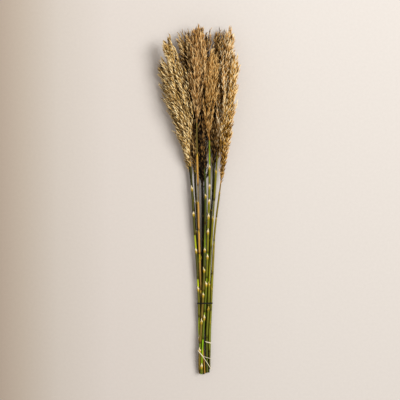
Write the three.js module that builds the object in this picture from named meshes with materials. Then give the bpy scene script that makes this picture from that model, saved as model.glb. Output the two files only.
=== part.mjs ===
// A bundle of ten preserved plume reeds, tied and lying on a flat surface.
//
// Each reed is a culm, three leaf sheaths that wrap it, and a plume. A black tie
// holds the culms, and three cream elastic bands are wound round their cut ends.
// Frame: +Y runs from the cut ends to the plume tips, +Z is up, millimetres.
import * as THREE from 'three';

// ---- Driving dimensions ----------------------------------------------------

const STATION_STEP = 20;
const STATION_COUNT = 41;

const CULM_RADIUS = 1.65;
const CULM_STEP = 27;
const SHEATH_BORE = 2.15;
const SHEATH_RADIUS = 2.65;
const SHEATH_LENGTH = 68;
const SHEATH_STEP = 17;
const ROUND_SEGMENTS = 4; // a full circle gets twice as many sides

const STEM_GAP = 0.5;
const PLUME_GAP = 1.0;
const PLUME_SIDES = 12;
const PLUME_CORE = 7.5;
const PLUME_CORE_RISE = 60;
const PLUME_COLLAR = 2.2;
const PLUME_TIP = 2.4;
const PLUME_SKEW = 1.2;
const PLUME_FULLNESS = 0.65;
const COLLAR_GAP = 0.7;

const BLACK_TIE_Y = 166;
const BLACK_TIE_WIDTH = 3;
const BLACK_TIE_INSIDE = 0.5;
const BLACK_TIE_OUTSIDE = 1.5;

const BAND_RADIUS = 0.7;
const BAND_GAP = 0.6;
const BAND_SIDES = 6;
const BAND_SEGMENTS = 44;
const SPLIT_Y = 76; // the upper band holds only the reeds on the right of this place
const SPLIT_HALF_GAP = 1.5;
const SPLIT_REACH = 30;
const BAND_REACH_Y = 100; // up to here the culms lie on the bands, and beyond on the surface

// Each band's place along the culms, at x across them: at + slope * x + bend * (x - BEND_X) ** 2.
const BEND_X = 3;
const BAND_LINES = {
  upper: { at: SPLIT_Y, slope: -0.25, bend: 0 },
  middle: { at: 46.5, slope: -0.7, bend: 0 },
  lower: { at: 35, slope: -1.5, bend: -0.012 },
};

const CORD_CIRCLE_POINTS = 20;
const LINE_END_GAP = 1; // a station nearer than this to the end of a line is left out
const ROUGHNESS = { culm: 0.5, sheath: 0.55, plume: 0.9, tie: 0.6, band: 0.7 };

const SETTLE_ROUNDS = 80;
const FINAL_ROUNDS = 160;

// ---- The reeds -------------------------------------------------------------

// route: places [y, x, z] that the reed is led through, from its cut end to its tip.
// base and tip: where the plume starts and ends. mouths: the upper ends of its sheaths.
const REEDS = [
  {
    route: [
      [0, -5.1, 7.6], [80, -12.5, 10], [166, -14, 13.5], [250, -18, 15], [335, -24.2, 18],
      [430, -30, 22], [480, -32.5, 25], [568, -47, 38], [667, -66.5, 46], [780, -86.5, 48],
    ],
    cut: 3, base: 480, tip: 780, halfWidth: 25, halfHeight: 17,
    mouths: [432, 289, 201], plumeColour: 0xa88d58, culmColour: 0x8f9440,
  },
  {
    route: [
      [0, -3.8, 2.7], [80, -4.5, 4.5], [166, -6, 6.5], [250, -9, 9], [335, -16, 13],
      [430, -22, 16], [520, -25.5, 18], [610, -34.5, 24], [700, -41.4, 28], [800, -46, 30],
    ],
    cut: 0, base: 520, tip: 800, halfWidth: 18, halfHeight: 14,
    mouths: [470, 397, 268], plumeColour: 0x957a4c, culmColour: 0x77803a,
  },
  {
    route: [
      [0, 0.7, 7.6], [80, -6.6, 9.6], [166, -9.4, 11], [250, -12, 16.5], [335, -14.3, 21],
      [430, -16.3, 27], [520, -18.5, 32], [590, -19, 37], [655, -17.3, 45],
      [724, -16.1, 50], [800, -17.3, 47],
    ],
    cut: 2, base: 580, tip: 800, halfWidth: 23, halfHeight: 15,
    mouths: [505, 398, 262], plumeColour: 0xa98a60, culmColour: 0xb59a55,
  },
  {
    route: [
      [0, -8, 12.5], [80, -3.2, 14.5], [166, 1.8, 14.5], [250, 5.3, 18], [335, 7, 22],
      [430, 10.1, 27], [540, 9.9, 34], [598, 8, 42], [674, 12.7, 46], [745, 18.4, 44],
    ],
    cut: 1, base: 540, tip: 740, halfWidth: 17, halfHeight: 14,
    mouths: [481, 367, 212], plumeColour: 0xa9804c, culmColour: 0x8d9738,
  },
  {
    route: [
      [0, 7.8, 2.7], [80, 9.3, 5], [166, 6.5, 7.5], [250, 8, 10], [335, 11, 12],
      [430, 18.5, 13], [520, 20.5, 13.5], [605, 24.2, 14.5], [697, 32.2, 15.5], [796, 42.6, 16],
    ],
    cut: 4, base: 520, tip: 800, halfWidth: 19, halfHeight: 15,
    mouths: [490, 380, 228], plumeColour: 0x84693f, culmColour: 0x6f7432,
  },
  {
    route: [
      [0, 4.5, 11], [80, 3.8, 10.3], [166, 8.2, 14], [250, 11, 17], [335, 16.6, 18],
      [430, 23, 20], [525, 29.9, 22], [616, 40.3, 28], [708, 49.5, 32], [800, 57.5, 34],
    ],
    cut: 5, base: 520, tip: 800, halfWidth: 17, halfHeight: 14,
    mouths: [470, 360, 153], plumeColour: 0xa3824b, culmColour: 0x7d8a3a,
  },
  {
    route: [
      [0, 10, 7.5], [80, 9.6, 10], [166, 14, 12.5], [250, 17.2, 15], [335, 23, 17],
      [440, 36, 22], [538, 46, 36], [637, 57.5, 42], [740, 69, 40],
    ],
    cut: 13, base: 440, tip: 740, halfWidth: 14, halfHeight: 14,
    mouths: [420, 300, 120], plumeColour: 0xac8a4c, culmColour: 0x86903c,
  },
  {
    route: [
      [0, -9.6, 2.7], [80, -10.5, 4.5], [166, -12, 6.5], [250, -14, 8.5], [335, -22, 11],
      [430, -29.5, 12], [500, -39.5, 13], [582, -59, 15], [651, -79.5, 16], [720, -100, 15],
    ],
    cut: 6, base: 500, tip: 720, halfWidth: 22, halfHeight: 15,
    mouths: [487, 405, 240], plumeColour: 0x9c854f, culmColour: 0x747b36,
  },
  {
    route: [
      [0, -10.9, 7.6], [80, -9, 14.7], [166, -4.4, 14], [250, -1.2, 17], [335, 0, 18],
      [430, 1.2, 20], [525, -4.6, 20], [621, -3.5, 24], [713, -1.2, 30], [800, 1.2, 32],
    ],
    cut: 2, base: 520, tip: 800, halfWidth: 18, halfHeight: 14,
    mouths: [415, 290, 187], plumeColour: 0x94754a, culmColour: 0xa08d4a,
  },
  {
    route: [
      [0, 2, 2.7], [80, 3.6, 5], [166, 0, 7.5], [250, -4.5, 10], [335, -4.4, 12],
      [430, -5.6, 12], [505, -9.5, 12], [591, -13.8, 13], [678, -20.7, 14], [766, -27.6, 13],
    ],
    cut: 3, base: 500, tip: 760, halfWidth: 18, halfHeight: 14,
    mouths: [440, 366, 250], plumeColour: 0x826b40, culmColour: 0x6b6b33,
  },
];

const TIE_COLOUR = 0x15140f;
const BAND_COLOUR = 0xe9dfc0;
const SHEATH_COLOUR = 0xc2b268;

// ---- Routes ----------------------------------------------------------------

/** A smooth line through the route's places, read at any y. */
function routeAt(route, y) {
  const last = route.length - 2;
  let i = 0;
  while (i < last && route[i + 1][0] < y) i += 1;
  const slope = (k, axis) => {
    const before = route[Math.max(k - 1, 0)];
    const after = route[Math.min(k + 1, route.length - 1)];
    return (after[axis] - before[axis]) / (after[0] - before[0]);
  };
  const [from, to] = [route[i], route[i + 1]];
  const span = to[0] - from[0];
  const t = (y - from[0]) / span;
  const read = (axis) => {
    const curve = (2 * t ** 3 - 3 * t ** 2 + 1) * from[axis] + (3 * t ** 2 - 2 * t ** 3) * to[axis];
    const lean = (t ** 3 - 2 * t ** 2 + t) * slope(i, axis) + (t ** 3 - t ** 2) * slope(i + 1, axis);
    return curve + lean * span;
  };
  return { x: read(1), z: read(2) };
}

/** The radius that nothing else may enter: the sheath's, or the plume's dense core. */
function coreRadius(reed, y) {
  const inPlume = THREE.MathUtils.clamp((y - reed.base) / PLUME_CORE_RISE, 0, 1);
  const towardsTip = THREE.MathUtils.clamp((reed.tip - y) / PLUME_CORE_RISE, 0, 1);
  return THREE.MathUtils.lerp(SHEATH_RADIUS, PLUME_CORE, Math.min(inPlume, towardsTip));
}

/** Moves two reeds apart, half each, until their cores clear each other. */
function separate(one, other) {
  const dx = other.x - one.x;
  const dz = other.z - one.z;
  const apart = Math.hypot(dx, dz);
  const push = (one.radius + other.radius + STEM_GAP - apart) / 2;
  if (push <= 0) return;
  one.x -= (push * dx) / apart;
  one.z -= (push * dz) / apart;
  other.x += (push * dx) / apart;
  other.z += (push * dz) / apart;
}

/** One pass over a station: reeds clear each other, the surface and the split. */
function pushApart(station) {
  const places = station.places.filter(Boolean);
  places.forEach((one, i) => places.slice(i + 1).forEach((other) => separate(one, other)));
  const lift = station.y < BAND_REACH_Y ? BAND_GAP + 2 * BAND_RADIUS : 0;
  for (const place of places) {
    place.z = Math.max(place.z, place.radius + lift);
    if (Math.abs(station.y - SPLIT_Y) > SPLIT_REACH) continue;
    const clear = place.radius + SPLIT_HALF_GAP;
    if (place.right) place.x = Math.max(place.x, clear);
    else place.x = Math.min(place.x, -clear);
  }
}

/** Evens out along each reed how far it has been moved from its route. */
function smoothAlong(stations) {
  REEDS.forEach((reed, i) => {
    const moved = stations.map(({ places }) => {
      const place = places[i];
      return place && { x: place.x - place.wantedX, z: place.z - place.wantedZ };
    });
    stations.forEach(({ places }, k) => {
      const [before, after] = [moved[k - 1], moved[k + 1]];
      if (!places[i] || !before || !after) return;
      places[i].x = places[i].wantedX + moved[k].x / 2 + (before.x + after.x) / 4;
      places[i].z = places[i].wantedZ + moved[k].z / 2 + (before.z + after.z) / 4;
    });
  });
}

/** Where every reed runs at every station, once the bundle has settled. */
function settleBundle() {
  const stations = Array.from({ length: STATION_COUNT }, (_, k) => {
    const y = k * STATION_STEP;
    const places = REEDS.map((reed) => {
      if (y > reed.tip) return null;
      const { x, z } = routeAt(reed.route, y);
      const right = routeAt(reed.route, SPLIT_Y).x > 0;
      return { x, z, wantedX: x, wantedZ: z, right, radius: coreRadius(reed, y) };
    });
    return { y, places };
  });
  for (let round = 0; round < SETTLE_ROUNDS; round += 1) {
    stations.forEach(pushApart);
    smoothAlong(stations);
  }
  for (let round = 0; round < FINAL_ROUNDS; round += 1) stations.forEach(pushApart);
  return stations;
}

const stations = settleBundle();

/** The settled centre of a reed at any y. */
function centreAt(index, y) {
  const k = Math.min(Math.floor(y / STATION_STEP), STATION_COUNT - 2);
  const from = stations[k].places[index];
  const to = stations[k + 1].places[index] ?? from;
  const t = y / STATION_STEP - k;
  return new THREE.Vector3(
    THREE.MathUtils.lerp(from.x, to.x, t),
    y,
    THREE.MathUtils.lerp(from.z, to.z, t),
  );
}

/** The reed's centre line between two places, through the stations between them. */
function lineBetween(index, fromY, toY) {
  const inner = stations.map(({ y }) => y).filter((y) => y > fromY + LINE_END_GAP && y < toY - LINE_END_GAP);
  const points = [fromY, ...inner, toY].map((y) => centreAt(index, y));
  return new THREE.CatmullRomCurve3(points);
}

// ---- Culms and sheaths -----------------------------------------------------

/** A round bar, or a tube where bore is given, along a reed's centre line. */
function roundAlong(index, fromY, toY, radius, bore, step) {
  const section = new THREE.Shape().absarc(0, 0, radius, 0, 2 * Math.PI, false);
  if (bore) section.holes.push(new THREE.Path().absarc(0, 0, bore, 0, 2 * Math.PI, true));
  return new THREE.ExtrudeGeometry(section, {
    extrudePath: lineBetween(index, fromY, toY),
    steps: Math.ceil((toY - fromY) / step),
    curveSegments: ROUND_SEGMENTS,
    bevelEnabled: false,
  });
}

// ---- Plumes ----------------------------------------------------------------

/** How full the plume is at y, from 0 at its ends to 1 at its widest. */
function fullness(reed, y) {
  const t = (y - reed.base) / (reed.tip - reed.base);
  const swell = Math.sin(Math.PI * t ** PLUME_SKEW);
  return Math.max(swell, 0) ** PLUME_FULLNESS;
}

/** Half width and half height of what a reed fills at y. */
function sectionAt(reed, y) {
  const least = y < reed.base ? SHEATH_RADIUS : PLUME_COLLAR;
  const full = y < reed.base ? 0 : fullness(reed, y);
  const end = y > (reed.base + reed.tip) / 2 ? PLUME_TIP : least;
  return [Math.max(reed.halfWidth * full, end), Math.max(reed.halfHeight * full, end)];
}

/** How far an ellipse reaches from its centre in a direction. */
const reachOf = ([width, height], [nx, nz]) => Math.hypot(width * nx, height * nz);

/** The flat limits, each a direction and a distance, that keep a plume to its own space. */
function limitsOf(index, k) {
  const { y, places } = stations[k];
  const own = places[index];
  const ownSection = sectionAt(REEDS[index], y);
  const limits = [{ direction: [0, -1], distance: own.z }];
  places.forEach((place, other) => {
    if (!place || other === index) return;
    const apart = Math.hypot(place.x - own.x, place.z - own.z);
    const direction = [(place.x - own.x) / apart, (place.z - own.z) / apart];
    const otherReach = reachOf(sectionAt(REEDS[other], y), direction);
    const ownReach = reachOf(ownSection, direction);
    const isCulm = y < REEDS[other].base;
    const share = isCulm ? apart - otherReach : (apart * ownReach) / (ownReach + otherReach);
    if (ownReach + otherReach + PLUME_GAP > apart) {
      limits.push({ direction, distance: share - PLUME_GAP / (isCulm ? 1 : 2) });
    }
  });
  return limits;
}

/** One cross-section of a plume: an ellipse cut back to its limits. */
function plumeRing(index, k) {
  const { y, places } = stations[k];
  const [width, height] = sectionAt(REEDS[index], y);
  const limits = limitsOf(index, k);
  return Array.from({ length: PLUME_SIDES }, (_, side) => {
    const angle = (2 * Math.PI * side) / PLUME_SIDES;
    const [nx, nz] = [Math.cos(angle), Math.sin(angle)];
    let reach = 1 / Math.hypot(nx / width, nz / height);
    for (const { direction, distance } of limits) {
      const facing = nx * direction[0] + nz * direction[1];
      if (facing > 0) reach = Math.min(reach, distance / facing);
    }
    return new THREE.Vector3(places[index].x + reach * nx, y, places[index].z + reach * nz);
  });
}

/** A closed solid through rings of equal length, with a flat face at each end. */
function loft(rings) {
  const sides = rings[0].length;
  const faces = [];
  for (let k = 0; k + 1 < rings.length; k += 1) {
    for (let side = 0; side < sides; side += 1) {
      const [a, b] = [k * sides + side, k * sides + ((side + 1) % sides)];
      faces.push(a, a + sides, b, b, a + sides, b + sides);
    }
  }
  const top = (rings.length - 1) * sides;
  for (let side = 1; side + 1 < sides; side += 1) {
    faces.push(0, side, side + 1);
    faces.push(top, top + side + 1, top + side);
  }
  const geometry = new THREE.BufferGeometry().setFromPoints(rings.flat());
  geometry.setIndex(faces);
  return geometry;
}

function plumeGeometry(index) {
  const { base, tip } = REEDS[index];
  const rings = [];
  for (let k = base / STATION_STEP; k <= tip / STATION_STEP; k += 1) rings.push(plumeRing(index, k));
  return loft(rings);
}

// ---- Ties ------------------------------------------------------------------

/** The convex outline, anticlockwise, round flat points. */
function convexOutline(points) {
  const sorted = [...points].sort((p, q) => p.x - q.x || p.y - q.y);
  const half = (list) => {
    const kept = [];
    for (const point of list) {
      while (kept.length > 1) {
        const [p, q] = kept.slice(-2);
        const turn = (q.x - p.x) * (point.y - p.y) - (q.y - p.y) * (point.x - p.x);
        if (turn > 0) break;
        kept.pop();
      }
      kept.push(point);
    }
    return kept.slice(0, -1);
  };
  return [...half(sorted), ...half(sorted.reverse())];
}

/** The line of a cord pulled tight round some reeds, at a distance from their sheaths. */
function outlineRound(indices, heights, distance) {
  const points = [];
  for (const index of indices) {
    for (const y of heights) {
      const centre = centreAt(index, y);
      for (let n = 0; n < CORD_CIRCLE_POINTS; n += 1) {
        const angle = (2 * Math.PI * n) / CORD_CIRCLE_POINTS;
        const reach = SHEATH_RADIUS + distance;
        points.push(new THREE.Vector2(
          centre.x + reach * Math.cos(angle),
          centre.z + reach * Math.sin(angle),
        ));
      }
    }
  }
  return convexOutline(points);
}

const everyReed = REEDS.map((_, index) => index);
const rightReeds = everyReed.filter((index) => centreAt(index, SPLIT_Y).x > 0);

function blackTie() {
  const shape = new THREE.Shape(outlineRound(everyReed, [BLACK_TIE_Y], BLACK_TIE_OUTSIDE));
  shape.holes.push(new THREE.Path(outlineRound(everyReed, [BLACK_TIE_Y], BLACK_TIE_INSIDE)));
  return new THREE.ExtrudeGeometry(shape, { depth: BLACK_TIE_WIDTH, bevelEnabled: false });
}

/** A closed round band; yAt gives its place along the culms from its place across them. */
function elasticBand(indices, yAt) {
  const spread = indices.flatMap((index) => centreAt(index, SPLIT_Y / 2).x);
  const heights = [Math.min(...spread), 0, Math.max(...spread)].map(yAt);
  const outline = outlineRound(indices, heights, BAND_GAP + BAND_RADIUS);
  const points = outline.map((point) => new THREE.Vector3(point.x, yAt(point.x), point.y));
  const line = new THREE.CatmullRomCurve3(points, true);
  return new THREE.TubeGeometry(line, BAND_SEGMENTS, BAND_RADIUS, BAND_SIDES, true);
}

// ---- Assembly --------------------------------------------------------------

const bundle = new THREE.Group();

function addPiece(name, geometry, colour, roughness) {
  const material = new THREE.MeshStandardMaterial({ color: colour, roughness, metalness: 0 });
  const piece = new THREE.Mesh(geometry, material);
  piece.name = name;
  bundle.add(piece);
  return piece;
}

REEDS.forEach((reed, index) => {
  const name = `reed_${String(index + 1).padStart(2, '0')}`;
  const culm = roundAlong(index, reed.cut, reed.base - COLLAR_GAP, CULM_RADIUS, 0, CULM_STEP);
  addPiece(`${name}_culm`, culm, reed.culmColour, ROUGHNESS.culm);
  ['upper', 'middle', 'lower'].forEach((place, n) => {
    const mouth = reed.mouths[n];
    const from = mouth - SHEATH_LENGTH;
    const sheath = roundAlong(index, from, mouth, SHEATH_RADIUS, SHEATH_BORE, SHEATH_STEP);
    addPiece(`${name}_sheath_${place}`, sheath, SHEATH_COLOUR, ROUGHNESS.sheath);
  });
  addPiece(`${name}_plume`, plumeGeometry(index), reed.plumeColour, ROUGHNESS.plume);
});

const tie = addPiece('black_tie', blackTie(), TIE_COLOUR, ROUGHNESS.tie);
tie.rotation.x = Math.PI / 2;
tie.position.y = BLACK_TIE_Y + BLACK_TIE_WIDTH / 2;

for (const [place, { at, slope, bend }] of Object.entries(BAND_LINES)) {
  const held = place === 'upper' ? rightReeds : everyReed;
  const band = elasticBand(held, (x) => at + slope * x + bend * (x - BEND_X) ** 2);
  addPiece(`cream_band_${place}`, band, BAND_COLOUR, ROUGHNESS.band);
}

// The origin is under the middle of the bundle, on the surface that it lies on.
const box = new THREE.Box3().setFromObject(bundle);
const middle = box.getCenter(new THREE.Vector3());
bundle.position.set(-middle.x, -middle.y, -box.min.z);

const part = new THREE.Group();
part.add(bundle);

export default part;
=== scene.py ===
# %% [markdown]
# # A bundle of preserved plume reed
#
# Ten dried reeds lie on a pale surface, tied with a black cord and held at their cut
# ends by cream elastic bands. Each reed is a hollow stem (the culm), a row of leaf
# sheaths that wrap it, and a feathery flower head (the plume). The CAD model holds
# their places and sizes as plain solids, and this lesson grows the real surfaces in
# the same space. Everything is in metres: +Y runs from the cut ends to the plumes,
# and +Z is up.

import bpy
import numpy as np
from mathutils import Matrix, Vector


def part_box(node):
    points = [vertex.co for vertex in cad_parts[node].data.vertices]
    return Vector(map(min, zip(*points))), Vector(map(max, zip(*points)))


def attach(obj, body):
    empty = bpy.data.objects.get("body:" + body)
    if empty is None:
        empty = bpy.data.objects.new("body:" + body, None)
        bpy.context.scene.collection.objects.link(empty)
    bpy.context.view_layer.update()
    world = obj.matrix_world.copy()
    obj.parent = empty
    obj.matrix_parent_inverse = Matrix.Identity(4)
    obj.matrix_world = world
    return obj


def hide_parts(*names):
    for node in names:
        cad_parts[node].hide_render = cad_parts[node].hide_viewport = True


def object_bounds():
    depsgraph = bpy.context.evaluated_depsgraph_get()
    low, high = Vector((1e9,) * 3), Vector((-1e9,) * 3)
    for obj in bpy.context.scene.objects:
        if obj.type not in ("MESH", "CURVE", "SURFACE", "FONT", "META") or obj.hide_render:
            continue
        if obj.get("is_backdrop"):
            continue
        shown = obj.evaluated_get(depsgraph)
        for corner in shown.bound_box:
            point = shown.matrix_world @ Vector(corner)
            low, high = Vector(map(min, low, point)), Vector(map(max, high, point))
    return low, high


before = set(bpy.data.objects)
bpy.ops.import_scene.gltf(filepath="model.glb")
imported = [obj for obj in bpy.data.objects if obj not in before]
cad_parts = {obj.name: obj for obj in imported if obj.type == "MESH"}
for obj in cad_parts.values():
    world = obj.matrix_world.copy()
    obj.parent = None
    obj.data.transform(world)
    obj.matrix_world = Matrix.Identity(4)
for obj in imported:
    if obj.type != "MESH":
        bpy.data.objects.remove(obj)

MM = 0.001
CAD_LOW, CAD_HIGH = (np.array(corner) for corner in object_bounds())
CUT_END = CAD_LOW[1]
print("CAD box in mm:", ((CAD_HIGH - CAD_LOW) / MM).round(1))

# %% [markdown]
# ## Reading the frame
#
# A CAD node is a loose heap of triangles, but its vertices still lie in rings, because
# each piece was drawn through cross-sections. Sorting them along Y and cutting the list
# wherever Y jumps gives the rings back. Their middles make a centre line, and their
# distances from the middle say how much room a plume has in each direction.

# %% Rings and centre lines
def rings_of(node, jump=4 * MM):
    """The node's vertices in rings: sorted by y, and cut where y grows by more than the jump."""
    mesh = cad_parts[node].data
    flat = np.empty(3 * len(mesh.vertices))
    mesh.vertices.foreach_get("co", flat)
    points = np.unique(flat.reshape(-1, 3).round(6), axis=0)
    points = points[np.argsort(points[:, 1])]
    return np.split(points, np.flatnonzero(np.diff(points[:, 1]) > jump) + 1)


def middle_line(node):
    """One point for each ring: the mean of its vertices."""
    return np.array([ring.mean(axis=0) for ring in rings_of(node)])


def on_line(line, y):
    """Points on a centre line at each y. Between two of its points, x and z follow the
    cubic that leaves each of them along the slope of its neighbours."""
    y = np.asarray(y, float)
    slope = np.gradient(line[:, [0, 2]], line[:, 1], axis=0)
    k = np.clip(np.searchsorted(line[:, 1], y) - 1, 0, len(line) - 2)
    span = line[k + 1, 1] - line[k, 1]
    t = np.clip((y - line[k, 1]) / span, 0, 1)[..., None]
    start, end = line[k][..., [0, 2]], line[k + 1][..., [0, 2]]
    flat = start * (2 * t**3 - 3 * t**2 + 1) + end * (3 * t**2 - 2 * t**3)
    lean = slope[k] * (t**3 - 2 * t**2 + t) + slope[k + 1] * (t**3 - t**2)
    xz = flat + lean * span[..., None]
    return np.stack([xz[..., 0], y, xz[..., 1]], axis=-1)


def height_on(line, y):
    """0 at the cut end of a centre line and 1 at its top."""
    return (y - line[0, 1]) / (line[-1, 1] - line[0, 1])


REEDS = [f"reed_{n:02d}" for n in range(1, 11)]
CULM_LINES = {reed: middle_line(f"{reed}_culm") for reed in REEDS}
print("points on a culm's centre line:", len(CULM_LINES["reed_01"]))

# %% [markdown]
# ## Surfaces from arrays
#
# Every new piece is worked out with numpy. A tube is a circle carried along a path, so
# its points are a grid: one row for each place on the path, one column for each side.
# The same few helpers turn such grids into closed meshes and store numbers on their
# points, which the materials read later.

# %% Grids and tubes
UP = np.array([0.0, 0.0, 1.0])


def unit(vectors):
    """Each vector divided by its own length."""
    return vectors / np.maximum(np.linalg.norm(vectors, axis=-1, keepdims=True), 1e-12)


def wrapped_quads(rows, columns):
    """Quads of a grid whose last column joins its first, facing out of the tube."""
    i, j = np.meshgrid(np.arange(rows - 1), np.arange(columns), indexing="ij")
    here, beside = i * columns + j, i * columns + (j + 1) % columns
    return np.stack([here, here + columns, beside + columns, beside], axis=-1).reshape(-1, 4)


def carried_circle(path, radii, sides, up=UP):
    """Rings round a path: path + radius * (cos a * across + sin a * over)."""
    along = unit(np.gradient(path, axis=0))
    across = unit(np.cross(along, up))
    over = np.cross(across, along)
    angle = np.linspace(0, 2 * np.pi, sides, endpoint=False)[None, :, None]
    spoke = np.cos(angle) * across[:, None] + np.sin(angle) * over[:, None]
    return path[:, None] + radii[:, None, None] * spoke


def capped(grid, path):
    """A tube from its rings of points, closed by a pole at each end of its path: its
    points, its faces, and the path row of each point."""
    rows, sides = grid.shape[:2]
    points = np.concatenate([grid.reshape(-1, 3), path[:1], path[-1:]])
    first, last = rows * sides, rows * sides + 1
    j = np.arange(sides)
    k = (j + 1) % sides
    start = np.stack([np.full(sides, first), j, k], axis=1)
    end = np.stack([np.full(sides, last), first - sides + k, first - sides + j], axis=1)
    row = np.concatenate([np.repeat(np.arange(rows), sides), [0, rows - 1]])
    return points, [wrapped_quads(rows, sides), start, end], row


def closed_tube(path, radii, sides, up=UP):
    """A round tube along a path, with a pole at each end."""
    return capped(carried_circle(path, radii, sides, up), path)


def strip_faces(rows, columns):
    """Faces of a strip whose columns run along one side of it and back along the other:
    round the grid, then across each end."""
    j = np.arange(columns // 2 - 1)
    k = columns - 1 - j
    near = np.stack([j, j + 1, k - 1, k], axis=1)
    return [wrapped_quads(rows, columns), near, near[:, ::-1] + (rows - 1) * columns]


def joined(parts):
    """Several (points, faces, values) put into one, with the face numbers moved along."""
    points, faces, values, count = [], [], {}, 0
    for part_points, part_faces, part_values in parts:
        points.append(part_points)
        faces += [rows + count for rows in part_faces]
        for key, value in part_values.items():
            full = np.broadcast_to(value, len(part_points))
            values.setdefault(key, []).append(full)
        count += len(part_points)
    return np.concatenate(points), faces, {key: np.concatenate(v) for key, v in values.items()}


print("grid and tube helpers ready")

# %% [markdown]
# ## From arrays to a named piece
#
# Blender takes a mesh as flat lists: the points, the corners of all faces in a row, and
# where each face starts. Filling them at once is far quicker than adding faces one by
# one. Every piece rides on the bundle's one body and hides the CAD solids that it
# stands for.

# %% Mesh objects
TRIANGLES = []


def placed(name, data):
    """A new object in the scene that shows a mesh, a lamp or a camera."""
    item = bpy.data.objects.new(name, data)
    bpy.context.collection.objects.link(item)
    return item


def make_piece(name, points, faces, values, finish, slot, nodes):
    """A smooth mesh object that rides on the root body and stands for the CAD nodes."""
    mesh = bpy.data.meshes.new(name)
    mesh.vertices.add(len(points))
    mesh.vertices.foreach_set("co", points.astype(np.float32).ravel())
    corners = np.concatenate([rows.ravel() for rows in faces])
    sizes = np.concatenate([np.full(len(rows), rows.shape[1]) for rows in faces])
    mesh.loops.add(len(corners))
    mesh.loops.foreach_set("vertex_index", corners.astype(np.int32))
    mesh.polygons.add(len(sizes))
    mesh.polygons.foreach_set("loop_start", (np.cumsum(sizes) - sizes).astype(np.int32))
    mesh.update(calc_edges=True)
    mesh.shade_smooth()
    for key, value in values.items():
        stored = mesh.attributes.new(key, "FLOAT", "POINT")
        full = np.broadcast_to(value, len(points)).astype(np.float32)
        stored.data.foreach_set("value", full)
    mesh.materials.append(finish)
    piece = placed(name, mesh)
    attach(piece, "root")
    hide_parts(*nodes)
    TRIANGLES.append(int((sizes - 2).sum()))
    return piece


# %% [markdown]
# ## Finishes
#
# Dried grass is never one colour. A stem is green where a sheath kept the light off it
# and straw where the sun reached it, a sheath is cream where its leaf was pulled away,
# and a plume is painted dark inside and bright at its tips, as painted shade and painted
# light. Each finish is a ramp of colours that reads a number stored on the mesh, broken
# up by noise in Object coordinates.

# %% Colour and node helpers
def tint(code):
    """A colour written as rrggbb, as the linear numbers that a shader takes."""
    srgb = np.array([int(code[i : i + 2], 16) for i in (0, 2, 4)]) / 255
    linear = np.where(srgb <= 0.04045, srgb / 12.92, ((srgb + 0.055) / 1.055) ** 2.4)
    return (*linear, 1.0)


class Finish:
    """A material under construction, with short calls for the nodes used here."""

    def __init__(self, name, roughness):
        self.material = bpy.data.materials.new(name)
        self.material.use_nodes = True
        self.tree = self.material.node_tree
        self.shader = self.tree.nodes["Principled BSDF"]
        self.shader.inputs["Roughness"].default_value = roughness
        self.shader.inputs["Specular IOR Level"].default_value = 0.15
        self.place = self.add("ShaderNodeTexCoord").outputs["Object"]

    def wire(self, source, target):
        """An input takes a fixed value, or the output of another node."""
        if isinstance(source, (int, float, tuple)):
            target.default_value = source
        else:
            self.tree.links.new(source, target)

    def add(self, kind, inputs=(), **settings):
        """A new node of a kind, with its settings and what goes into its inputs."""
        node = self.tree.nodes.new(kind)
        for key, value in settings.items():
            setattr(node, key, value)
        for name, source in dict(inputs).items():
            self.wire(source, node.inputs[name])
        return node

    def number(self, name):
        """A number stored on the mesh."""
        return self.add("ShaderNodeAttribute", attribute_name=name).outputs["Fac"]

    def noise(self, scale, stretch=(1, 1, 1), detail=3.0):
        """Noise in the piece's own space, drawn out along an axis by a small stretch."""
        mapping = self.add("ShaderNodeMapping", {"Scale": stretch, "Vector": self.place})
        inputs = {"Scale": scale, "Detail": detail, "Vector": mapping.outputs["Vector"]}
        return self.add("ShaderNodeTexNoise", inputs).outputs["Fac"]

    def sums(self, first, second, operation="ADD"):
        """Two numbers, each fixed or from a node, added or otherwise combined."""
        node = self.add("ShaderNodeMath", operation=operation)
        for socket, value in zip(node.inputs, (first, second)):
            self.wire(value, socket)
        return node.outputs["Value"]

    def share(self, value, start, end):
        """0 below the start, 1 above the end, and even between them."""
        inputs = {"From Min": start, "From Max": end, "Value": value}
        return self.add("ShaderNodeMapRange", inputs).outputs["Result"]

    def ramp(self, factor, stops):
        """A colour read from stops of (place, rrggbb)."""
        node = self.add("ShaderNodeValToRGB", {"Fac": factor})
        elements = node.color_ramp.elements
        while len(elements) < len(stops):
            elements.new(0.5)
        for element, (place, code) in zip(elements, stops):
            element.position = place
            element.color = tint(code)
        return node.outputs["Color"]

    def mix(self, factor, first, second, blend="MIX"):
        """From the first colour at factor 0 to the second at factor 1."""
        node = self.add("ShaderNodeMix", data_type="RGBA", blend_type=blend)
        colours = [socket for socket in node.inputs if socket.type == "RGBA"]
        for socket, value in zip([node.inputs["Factor"], *colours], (factor, first, second)):
            self.wire(value, socket)
        return next(socket for socket in node.outputs if socket.type == "RGBA")

    def bump(self, height, depth, strength):
        """Relief finer than the mesh: the fibres and ribs of the skin."""
        inputs = {"Distance": depth, "Strength": strength, "Height": height}
        node = self.add("ShaderNodeBump", inputs)
        self.wire(node.outputs["Normal"], self.shader.inputs["Normal"])

    def colour(self, source):
        """The finished material, with its colour wired in."""
        self.wire(source, self.shader.inputs["Base Color"])
        return self.material


print("finish helpers ready")

# %% [markdown]
# ## The four finishes of the bundle
#
# A spikelet is painted darkest where it is rooted, deep among the others, and lightest at
# its tip: painted shade and painted light. A culm changes colour from its foot to its
# plume, with dark joints and fresh green above each sheath. A sheath turns yellow and then
# cream towards its torn mouth. One function for each kind serves all ten reeds, which
# differ only in their colours.

# %% Plume, culm, sheath and band finishes
FIBRE = (1, 0.04, 1)
JOINT_COLOUR = "3b2f18"


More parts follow.
